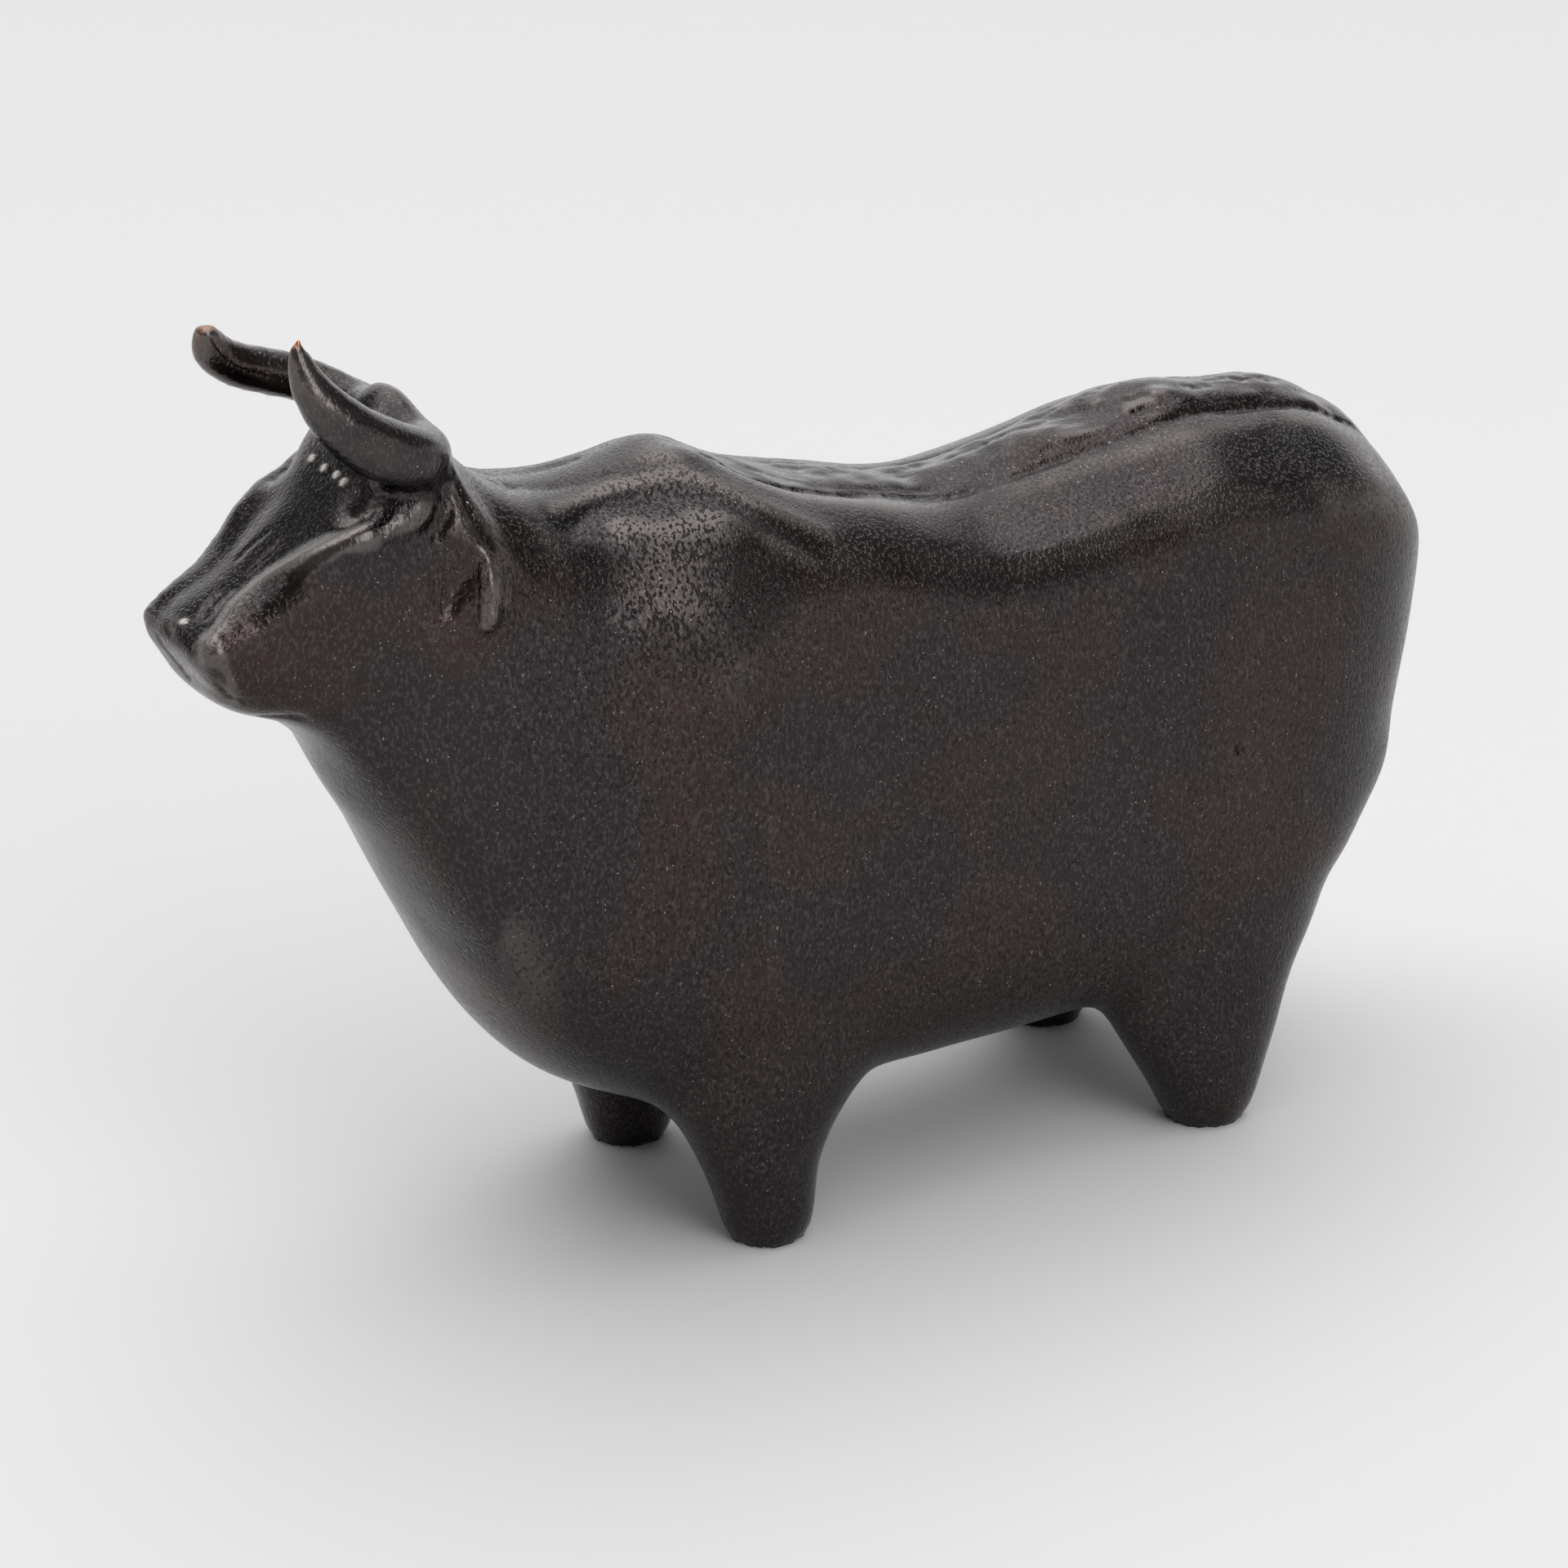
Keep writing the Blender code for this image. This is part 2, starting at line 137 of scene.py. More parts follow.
class StudioSettings(bpy.types.PropertyGroup):
    lens: FloatProperty(
        name="Lens", description="Focal length of the camera", default=120.0, unit="CAMERA",
    )
    distance: FloatProperty(
        name="Distance", description="From the camera to the middle of the bull",
        default=1.1098, unit="LENGTH",
    )
    azimuth: FloatProperty(
        name="Azimuth", description="Turn of the camera from the bull's front to its left side",
        default=math.radians(57.5), unit="ROTATION",
    )
    elevation: FloatProperty(
        name="Elevation", description="Angle of the camera above the floor",
        default=math.radians(22.1), unit="ROTATION",
    )
    floor: FloatVectorProperty(
        name="Floor", description="Colour of the floor",
        subtype="COLOR", size=4, min=0.0, max=1.0, default=linear("#d6d6d6"),
    )
    backdrop: FloatProperty(
        name="Backdrop", description="Brightness of the white backdrop", default=1.1,
    )
    gloom: FloatProperty(
        name="Gloom", description="Brightness between the walls and the ceiling", default=0.22,
    )
    ceiling: FloatProperty(
        name="Ceiling", description="Brightness of the white ceiling", default=2.25,
    )


# Skin


PULL = 0.6  # of the way to the mean of the neighbours, at each pass


def coordinates(mesh):
    """The mesh's points, in the millimetres of the drawing."""
    flat = np.empty(len(mesh.vertices) * 3)
    mesh.vertices.foreach_get("co", flat)
    return flat.reshape(-1, 3) / (STRETCH * MM)


def move_to(mesh, points):
    mesh.vertices.foreach_set("co", (points * STRETCH * MM).ravel())
    mesh.update()


def normals(mesh):
    flat = np.empty(len(mesh.vertices) * 3)
    mesh.vertices.foreach_get("normal", flat)
    return flat.reshape(-1, 3)


def remeshed(mesh, square):
    """The mesh made again from even squares."""
    helper = bpy.data.objects.new("helper", mesh)
    bpy.context.scene.collection.objects.link(helper)
    modifier = helper.modifiers.new("Squares", "REMESH")
    modifier.mode = "VOXEL"
    modifier.voxel_size = square
    bpy.context.view_layer.update()
    evaluated = helper.evaluated_get(bpy.context.evaluated_depsgraph_get())
    made = bpy.data.meshes.new_from_object(evaluated)
    bpy.data.objects.remove(helper, do_unlink=True)
    bpy.data.meshes.remove(mesh)
    return made


def relaxed(mesh, points, passes):
    """Points drawn towards the mean of their neighbours."""
    ends = np.empty(len(mesh.edges) * 2, int)
    mesh.edges.foreach_get("vertices", ends)
    ends = ends.reshape(-1, 2)
    neighbours = np.bincount(ends.ravel(), minlength=len(points))[:, None]
    for _ in range(passes):
        total = np.stack([
            np.bincount(ends[:, 0], points[ends[:, 1], axis], len(points))
            + np.bincount(ends[:, 1], points[ends[:, 0], axis], len(points))
            for axis in range(3)
        ], axis=1)
        points = points + PULL * (total / neighbours - points)
    return points


def without_facets(mesh, points, passes):
    """Points with the solid's facets smoothed away.

    The second round gives back what the first one shrank.
    """
    once = relaxed(mesh, points, passes)
    return once + relaxed(mesh, points - once, passes)


def made_finer(mesh, wanted):
    """Split every edge in two where wanted, an array with a truth for each vertex, says so."""
    bm = bmesh.new()
    bm.from_mesh(mesh)
    bm.verts.ensure_lookup_table()
    edges = [edge for edge in bm.edges if all(wanted[end.index] for end in edge.verts)]
    bmesh.ops.subdivide_edges(bm, edges=edges, cuts=1, use_grid_fill=True)
    bm.to_mesh(mesh)
    bm.free()


def smooth_step(values, low, high):
    share = np.clip((values - low) / (high - low), 0.0, 1.0)
    return share * share * (3 - 2 * share)


def noise_at(points, size, octaves=2):
    """Soft noise from about -1 to 1 whose swells are `size` millimetres apart."""
    return np.array([
        noise.fractal(Vector(point), 1.0, 2.0, octaves, noise_basis="PERLIN_ORIGINAL")
        for point in (points / size).tolist()
    ])


# Tool marks


# A mark along a path on the skin. height is up from the skin, or down into it when negative, and
# width is the distance over which it fades on each side. rough breaks it up, from 0 to 1.
Mark = namedtuple("Mark", "width height path rough", defaults=(0.0,))

RIB = Mark(2.9, 1.45, ((14.8, -150, 150.8), (12, -145.5, 153.7), (10.2, -141.2, 156.7),
                       (10.6, -135.6, 160.5), (12.9, -132, 163.3), (16, -128.5, 166.3),
                       (19.4, -123.8, 169.1), (21, -119, 170.5)))
FAR_RIB_HEIGHT = 0.4
PAIRED_MARKS = (  # drawn on the left side, and made on both
    # the cheek, cut back under the rib
    Mark(3.0, -0.9, ((15.8, -147.5, 152.5), (17.1, -139.3, 157.3), (18.6, -133.7, 160.7),
                     (20.6, -128.2, 164.2), (21.4, -124.3, 166.4))),
    Mark(3.4, 1.0, ((20.5, -112, 173.8), (21.8, -108.5, 174))),  # the knob of the brow
    # the fold under it
    Mark(2.0, 0.5, ((22.2, -114, 170.9), (22.5, -109.6, 171), (22, -106.5, 172.8))),
    # the eye
    Mark(2.2, -0.5, ((15.9, -119.5, 172), (16.8, -116.8, 174), (17.8, -114.5, 175)), 0.8),
    # the creases behind the jaw
    Mark(1.1, -0.8, ((24, -103, 181), (22.4, -101.2, 175.5), (22.2, -101.8, 171.6),
                     (21.8, -104.3, 168.1))),
    Mark(0.9, -0.7, ((18.6, -98, 177.4), (21.4, -96.8, 171.3), (23.2, -95, 166.7),
                     (24.5, -93.6, 163.5))),
    # an ear
    Mark(1.9, 1.0, ((25.2, -95, 163), (27.4, -95.4, 157.9), (28.6, -96.2, 153.1),
                    (27.6, -96.3, 149.4))),
    # the grooves on either side of the ear, and the hollow in front of it
    Mark(0.8, -0.4, ((25, -97.6, 163), (25.8, -98.2, 158.6), (26.8, -98.9, 153.6),
                     (26.3, -99.2, 148.7))),
    Mark(0.8, -0.4, ((25.8, -91.2, 160.8), (27.8, -92.3, 156.2), (28.7, -93.6, 152),
                     (26.6, -94, 147.3))),
    Mark(1.8, -0.45, ((24.6, -98.3, 161), (23.9, -99.8, 158.7), (23.6, -101.4, 156),
                      (23.2, -103, 154)), 0.6),
    # the muzzle's edge
    Mark(1.2, 0.5, ((15.8, -148.9, 149.4), (15.5, -146.8, 144.9), (13.5, -144.8, 139.5))),
    # the edge of the spine
    Mark(1.0, -0.6, ((7, -34.2, 167), (9, -27.9, 163.8), (10, -20.2, 161.5), (11, -2.7, 156.3),
                     (11, 20.8, 150.7), (11, 36.8, 150), (11, 48.5, 150.9), (12, 69.1, 151.7),
                     (12, 79.4, 154.8), (11.5, 89.9, 156.3), (11, 112.5, 153.5),
                     (10.5, 119.7, 152.5), (9, 131.2, 145.4), (8, 138.3, 138.2)), 0.4),
    # a groove beside the withers
    Mark(0.9, -0.4, ((4, -80.5, 171.4), (5, -73.4, 168.7), (6, -64.2, 167), (6, -57, 168.3)), 0.4),
    # the throat fold
    Mark(0.8, -0.6, ((10, -137.4, 132.7), (13, -134.9, 131.1), (16, -132.9, 130.3))),
)
BLOW_HOLE = Mark(1.0, -1.3, ((40.3, 80.1, 89.7), (40.3, 80.2, 89.6)))  # in the flank
SINGLE_MARKS = (
    # the top edge of the muzzle
    Mark(1.2, 0.4, ((-12, -150.3, 150.8), (-2.8, -150.7, 151.4), (4.7, -150.2, 151.6),
                    (12.9, -150.1, 151.5))),
    # a gouge
    Mark(1.6, -0.6, ((4.9, -146.7, 154.3), (3.8, -144.7, 155.6), (3.5, -142.3, 157.1)), 0.5),
    # its rim
    Mark(0.8, 0.4, ((8, -146.2, 153.9), (6.8, -143.5, 156), (5.6, -141, 158))),
    # two scratches down the face
    Mark(0.5, -0.35, ((-2.4, -135.6, 161.4), (-2, -132.1, 164.2), (-0.8, -129, 166.7)), 0.5),
    Mark(0.5, -0.35, ((3.7, -136.6, 160.7), (4.5, -132.6, 163.6), (4.8, -129.1, 166.4)), 0.5),
    # the slit of the nose and the groove below it
    Mark(0.5, -0.5, ((-3, -154.2, 153.4), (0, -153, 150.7))),
    Mark(0.7, -0.4, ((-6, -151.6, 148.4), (-4, -150.6, 144.6), (0, -149.3, 139.6)), 0.6),
    # the mouth
    Mark(0.6, -0.5, ((13.5, -148.7, 143.3), (13.4, -145.9, 140.6), (14.2, -142.9, 138.9))),
    BLOW_HOLE,
    Mark(1.3, -0.8, ((8.5, 73.5, 158.5), (8.5, 76.5, 158.8))),  # a dimple in the spine
    # a crack in the flank
    Mark(0.6, -0.35, ((39.9, 73.1, 75.2), (39.6, 73.6, 67.4), (39.2, 73.3, 59.6)), 0.8),
    # a seam of the mould
    Mark(2.6, 0.14, ((40.2, -38.7, 112), (40.6, -38.9, 78.7), (39.5, -38.2, 45)), 0.3),
)
SHOULDER_MARKS = (  # the top of each shoulder, and the dip that parts it from the withers
    Mark(5.0, 1.3, ((20.5, -61, 160), (23.2, -50, 159), (24.5, -41, 158))),
    Mark(2.4, -0.7, ((18.7, -74, 162.1), (14.6, -64, 163.2), (14.5, -54, 163.8), (17.5, -44, 163.2),
                     (21, -37.5, 161.2), (25.2, -31, 157.6), (30, -20, 151.5))),
    Mark(3.0, 0.5, ((14, -72, 164.8), (10.5, -62, 165.6), (11, -52, 166.2), (13, -42, 166.3),
                    (17, -35, 163.6), (21.5, -29.5, 160.2), (27, -18, 154))),
)
HORN_MARKS = (
    # the rim of the left horn
    Mark(1.8, 0.15, ((20.4, -132, 209.5), (22.4, -131.1, 206), (24.8, -129.7, 201.2),
                     (26.5, -125.2, 197.7), (26.9, -118.5, 194), (26.1, -111.1, 190.5),
                     (23.7, -102.7, 185.7))),
)
# White grains of the mould's plaster, left in the skin: four under the left horn, one at the nostril.
FLECKS = ((-6, -116.5, 177.8), (0.2, -116.9, 177.6), (5.1, -116.6, 177.6), (8.1, -116.8, 177.2),
          (1.7, -149.4, 152.5))
FLECK = 0.8  # the radius of one
FLECK_HEIGHT = 0.4
FLECK_REACH = (0.6 * FLECK, 1.6 * FLECK)
# Painted highlights along the rib of the face and round the eye: the path of each, how far it is at
# its palest, where it has faded, and how pale.
PAINTED_HIGHLIGHTS = (
    ([(x - 1.0, y, z + 0.7) for x, y, z in RIB.path], 0.8, 2.8, 1.0),
    (((15.9, -119.5, 172), (16.8, -116.8, 174), (17.8, -114.5, 175)), 0.5, 3.0, 0.35),
)


# Places where the skin differs, as drawn. A pair is where a fade starts and where it ends.
HORN_TIPS = ((18.5, -131.6, 211.2), (-20.0, -131.7, 202.4))
WORN = (0.6, 2.4)  # from a horn's tip
SHOULDERS = (((27.6, -50.7, 154.9), 24.0), ((32.4, -48.3, 146.0), 22.0))  # and how far each goes
NECK = (88.0, 100.0)  # ahead of the bull's middle
JAW = (88.0, 96.0)
SOLE = 1.0  # height below which the skin that faces down is a sole
FACING_DOWN = -0.7

# The rounds of smoothing that take off the facets: of the body, of the head, and of the finer skin.
BODY_ROUNDS = 12
HEAD_ROUNDS = 6
LAST_ROUNDS = 2

# Where the skin is made finer, as drawn.
FINE_HEAD = -95.0
FINE_SPINE_MARGIN = 4.0
FINE_SPINE_START = -40.0
FINE_SPINE_BASE = 140.0
FINE_HOLE = 5.0

# The strip of the spine, the chisel cuts scattered on it and its lumps.
SPINE_HALF_WIDTH = 9.5
SPINE_ENDS = (-34.0, 124.0)
ABOVE_SPINE = 175.0
CUTS = 42
CUT_LENGTHS = (5.0, 14.0)
CUT_WIDTHS = (0.6, 1.1)
CUT_DEPTHS = (0.12, 0.35)
CUT_TURN = 0.25
CUT_ROUGHNESS = 0.4
LUMP = 7.5
LUMP_HEIGHT = 3.3  # times the waviness
LUMP_STRETCH = np.array([1.0, 0.55, 1.0])  # they are longer along the back
LUMPS_ACROSS = (SPINE_HALF_WIDTH - 2.0, SPINE_HALF_WIDTH + 1.0)
LUMPS_ALONG = (-40.0, -25.0)
LUMPS_UP = (140.0, 146.0)

SWELL = 26.0  # from one slow swell of the wax to the next
MARK_REACH = 3.0  # widths, beyond which a mark has faded to nothing
BREAKS = 1.9  # from one break in a rough mark to the next
BREAK_DEPTH = 1.4
TINY = 1e-9  # keeps a path of no length from dividing by nothing


def curve_through(points, steps=5):
    """A smooth curve through the points."""
    points = np.asarray(points, float)
    padded = np.concatenate([2 * points[:1] - points[1:2], points, 2 * points[-1:] - points[-2:-1]])
    share = (np.arange(steps) / steps)[:, None]
    curve = []
    for a, b, c, d in zip(padded, padded[1:], padded[2:], padded[3:]):
        bend = (2 * a - 5 * b + 4 * c - d) * share**2 + (3 * b - a - 3 * c + d) * share**3
        curve.append(b + 0.5 * ((c - a) * share + bend))
    return np.concatenate([*curve, points[-1:]])


def nearest_to(points, places):
    """For each place, the point nearest to it."""
    return points[[np.argmin(np.linalg.norm(points - place, axis=1)) for place in places]]


def distance_to_places(points, places):
    return np.min([np.linalg.norm(points - place, axis=1) for place in places], axis=0)


def distance_to_path(points, path):
    nearest = np.full(len(points), np.inf)
    for start, end in zip(path[:-1], path[1:]):
        along = end - start
        share = np.clip((points - start) @ along / max(along @ along, TINY), 0.0, 1.0)
        distance = np.linalg.norm(points - start - share[:, None] * along, axis=1)
        nearest = np.minimum(nearest, distance)
    return nearest


def folded(points):
    """The points of the right side laid over those of the left."""
    return np.column_stack([np.abs(points[:, 0]), points[:, 1:]])


def work(mesh, marks):
    """Raise or sink the skin along each mark, after laying its path down on the skin."""
    points = coordinates(mesh)
    outward = normals(mesh)
    faces = [tuple(face.vertices) for face in mesh.polygons]
    skin = BVHTree.FromPolygons(points.tolist(), faces)
    lift = np.zeros(len(points))
    for mark in marks:
        path = curve_through([skin.find_nearest(Vector(place))[0] for place in mark.path])
        reach = MARK_REACH * mark.width
        low, high = path.min(axis=0) - reach, path.max(axis=0) + reach
        near = np.flatnonzero(np.all((points > low) & (points < high), axis=1))
        height = mark.height * np.exp(-((distance_to_path(points[near], path) / mark.width) ** 2))
        if mark.rough:
            breaks = 1 + BREAK_DEPTH * noise_at(points[near], BREAKS)
            height = height * (1 - mark.rough + mark.rough * breaks)
        lift[near] += height
    move_to(mesh, points + lift[:, None] * outward)


def mirrored(mark):
    return mark._replace(path=[(-x, y, z) for x, y, z in mark.path])


def spine_marks(seed):
    """Short chisel cuts scattered along the strip of the spine."""
    draw = np.random.default_rng(seed)
    for _ in range(CUTS):
        x = draw.uniform(-SPINE_HALF_WIDTH, SPINE_HALF_WIDTH)
        y = draw.uniform(*SPINE_ENDS)
        length = draw.uniform(*CUT_LENGTHS)
        turn = draw.normal(0.0, CUT_TURN)
        end = (x + length * math.sin(turn), y + length * math.cos(turn), ABOVE_SPINE)
        width = draw.uniform(*CUT_WIDTHS)
        depth = draw.uniform(*CUT_DEPTHS)
        yield Mark(width, -depth, ((x, y, ABOVE_SPINE), end), CUT_ROUGHNESS)


# Materials


MIX_FACTOR, MIX_A, MIX_B, MIXED = 0, 6, 7, 2  # sockets of a Mix node that mixes colours
DRAWN_OUT = (1.0, 1.0, 0.6)  # the mould was brushed up and down, so its grain is longer that way
GRAIN_RELIEF = 0.25  # height of the grain, as a share of the depth of the pits
EDGE_DULLING = 0.22  # added to the roughness where an edge is rubbed
PIT_COLOUR = "#2a2726"
# Painted shade: the colour laid in the hollows, round the blow hole and on the feet near the floor.
PAINTED_SHADE_COLOUR = "#1c1919"
PLASTER_COLOUR = "#cdc9c2"


def add_node(tree, kind, inputs=None, **settings):
    """Add a node. settings are its properties; inputs are values, or sockets that feed it."""
    node = tree.nodes.new(kind)
    for name, value in settings.items():
        setattr(node, name, value)
    for name, value in (inputs or {}).items():
        if isinstance(value, bpy.types.NodeSocket):
            tree.links.new(value, node.inputs[name])
        else:
            node.inputs[name].default_value = value
    return node


def patinated_bronze(settings):
    """Bronze cast in a mould of plaster and sand, under a smoked brown-black patina, and waxed.

    The eye gets a dark metal with a soft, broad gloss, in cloudy warm and cool patches. It is
    broken by the pits of the mould's sand, which stay black, and by the high spots of the grain,
    where brushing left the patina thin. Edges that stand out are paler and duller, from wear and
    from a highlight painted along them, and highlights are painted along the rib of the face and
    round the eye. Painted shade darkens the hollows, the blow hole and the feet near the floor.
    Pin-point glints and the tips of the horns are bare metal. The grains of such sand are 0.1 to
    0.3 mm, too fine to show here, so they are drawn at about 0.7 mm.
    """
    material = bpy.data.materials.new("Patinated cast bronze")
    material.use_nodes = True
    tree = material.node_tree
    surface = tree.nodes["Principled BSDF"]
    place = add_node(tree, "ShaderNodeTexCoord").outputs["Object"]
    brushed = add_node(
        tree, "ShaderNodeMapping", {"Vector": place, "Scale": DRAWN_OUT},
    ).outputs["Vector"]
    pitting, wear, warmth, polish_and_painted_light, plaster = [
        add_node(tree, "ShaderNodeAttribute", attribute_name=name).outputs["Fac"]
        for name in ("pitting", "wear", "warmth", "polish_and_painted_light", "plaster")
    ]

    noises = {}
    for name, vector, size, detail in (
        ("grain", brushed, settings.grain, 1.0),
        ("pits", brushed, 1.15 * settings.grain, 1.0),
        ("glints", place, 0.8 * settings.grain, 0.0),
    ):
        noises[name] = add_node(
            tree, "ShaderNodeTexNoise", {"Vector": vector, "Scale": 1 / size, "Detail": detail},
        ).outputs["Fac"]

    fades = {}
    for name, source, start, end, first, last in (
        ("roughness", pitting, 0.0, 1.0, 0.18, 0.26),
        ("metal", plaster, 0.0, 1.0, 1.0, 0.0),
        # The edge fade: paler worn edges with a painted highlight, and the painted highlights of rib
        # and eye.
        ("edge", polish_and_painted_light, 0.0, 1.0, 0.0, 1.0),
        # Painted shade in the hollows, round the blow hole and on the feet near the floor.
        ("painted_shade", polish_and_painted_light, 0.0, -1.0, 0.0, 0.8),
        ("rubbed", noises["grain"], 0.48, 0.68, 0.0, 0.55),
        ("pits", noises["pits"], 0.32, 0.48, 1.0, 0.0),
        ("glints", noises["glints"], 0.80, 0.84, 0.0, 1.0),
    ):
        fades[name] = add_node(
            tree, "ShaderNodeMapRange",
            {"Value": source, "From Min": start, "From Max": end, "To Min": first, "To Max": last},
            interpolation_type="SMOOTHSTEP",
        ).outputs["Result"]

    pits = add_node(
        tree, "ShaderNodeMath", {0: fades["pits"], 1: pitting}, operation="MULTIPLY",
    ).outputs["Value"]
    height = add_node(
        tree, "ShaderNodeMath", {0: noises["grain"], 1: GRAIN_RELIEF, 2: pits},
        operation="MULTIPLY_ADD",
    ).outputs["Value"]
    colour = tuple(settings.black)
    for share, other in (
        (warmth, tuple(settings.brown)),
        (fades["rubbed"], tuple(settings.rubbed)),
        # Paler edges: wear with a painted highlight, and painted highlights along the rib and the
        # eye.
        (fades["edge"], tuple(settings.edge)),
        # Painted shade in the hollows, round the blow hole and on the feet.
        (fades["painted_shade"], linear(PAINTED_SHADE_COLOUR)),
        (pits, linear(PIT_COLOUR)),
        (fades["glints"], tuple(settings.glint)),
        (wear, tuple(settings.copper)),
        (plaster, linear(PLASTER_COLOUR)),
    ):
        colour = add_node(
            tree, "ShaderNodeMix", {MIX_FACTOR: share, MIX_A: colour, MIX_B: other},
            data_type="RGBA",
        ).outputs[MIXED]
    relief = add_node(
        tree, "ShaderNodeBump", {"Height": height, "Distance": settings.grain_depth},
        invert=True,
    ).outputs["Normal"]
    roughness = add_node(
        tree, "ShaderNodeMath", {0: fades["edge"], 1: EDGE_DULLING, 2: fades["roughness"]},
        operation="MULTIPLY_ADD",
    ).outputs["Value"]
    for name, socket in (
        ("Base Color", colour), ("Metallic", fades["metal"]), ("Roughness", roughness),
        ("Normal", relief),
    ):
        tree.links.new(socket, surface.inputs[name])
    return material


def matt_floor(colour):
    """Painted board, matt: it gives the even, pale ground."""
    material = bpy.data.materials.new("Matt white board")
    material.use_nodes = True
    surface = material.node_tree.nodes["Principled BSDF"]
    surface.inputs["Base Color"].default_value = tuple(colour)
    surface.inputs["Roughness"].default_value = 0.9
    surface.inputs["Specular IOR Level"].default_value = 0.1
    return material


# Finish


# Polish and painted light: edges rubbed paler, with a highlight painted along them, and painted
# shade in the hollows, told by how far they stand out from a smoother skin.
EDGE_ROUNDS = 9
EDGES = (0.03, 0.22)
# How pale the edges that stand out get, from wear and from a highlight painted along them.
EDGE_WEAR_AND_HIGHLIGHT = 0.45
# Painted shade round the blow hole: where it is full and where it has faded.
HOLE_PAINTED_SHADE = (0.6, 1.5)
# Painted shade on the feet, near the floor: how dark, and the heights (FEET) where it is full and
# faded.
FOOT_PAINTED_SHADE = 0.45
FEET = (15.0, 75.0)

# Warmth: the brown clouds, and the cooler places among them. Low down the brown gives way to
# black, a cooler patina with painted shade near the floor; on the shoulders it is taken out where
# the highlight falls, so the highlight reads white.
CLOUD = 34.0
CLOUD_OCTAVES = 4
CLOUD_EDGE = (-0.35, 0.45)
UPTURNED = (0.45, 0.85)
LOW = (30.0, 70.0)
# Low down the brown gives way to black: a cooler patina, and painted shade near the floor.
LOW_COOLING_AND_SHADE = 0.7
# On the shoulders the brown is taken out where the highlight falls, so the highlight reads white.
SHOULDER_HIGHLIGHT_COOLING = 0.8
SHOULDER_HIGHLIGHT_CORE = 0.3  # of a shoulder's reach
COOLING = 0.85

# Pitting: how deep the pits are, and the places where they are filled. Each place has how far it is
# filled, and the fades that bound it: what is measured, where it is 0 and where it is 1.
PIT_DEPTH = 0.6
PIT_CHANGE = 0.15
PIT_PATCH = 22.0
SHOULDER_PITS = 0.35
SHOULDER_PIT_CORE = 0.4  # of a shoulder's reach
FILLED = (
    (0.8, (("aside", 12.0, 8.0), ("back", -45.0, -30.0), ("up", 138.0, 144.0))),  # the spine
    (0.8, (("up", 180.0, 184.0), ("back", -100.0, -108.0))),  # the horns
    (0.8, (("back", -112.0, -120.0), ("up", 156.0, 162.0))),  # the face
    (0.5, (("back", -88.0, -100.0),)),  # the whole head
    (0.5, (("upturned", 0.5, 0.75), ("back", -30.0, 0.0))),  # the slopes of the back
)


# Studio


FLOOR_REACH = 12.0  # metres from its middle to an edge
AIM = Vector((0.0, -0.0103, 0.0877))
LIT = Vector((0.0, 0.0, 0.1))
CEILING_TILT = 0.25  # brings the ceiling's edge lower on the side of the backdrop
SOFTBOXES = (  # azimuth and elevation in degrees, distance, sides and brightness
    ("side softbox", 89, 41, 4.0, (2.0, 4.1), 2.9),
    ("front softbox", -35, 48, 4.0, (2.2, 2.2), 1.2),
)


# Operators


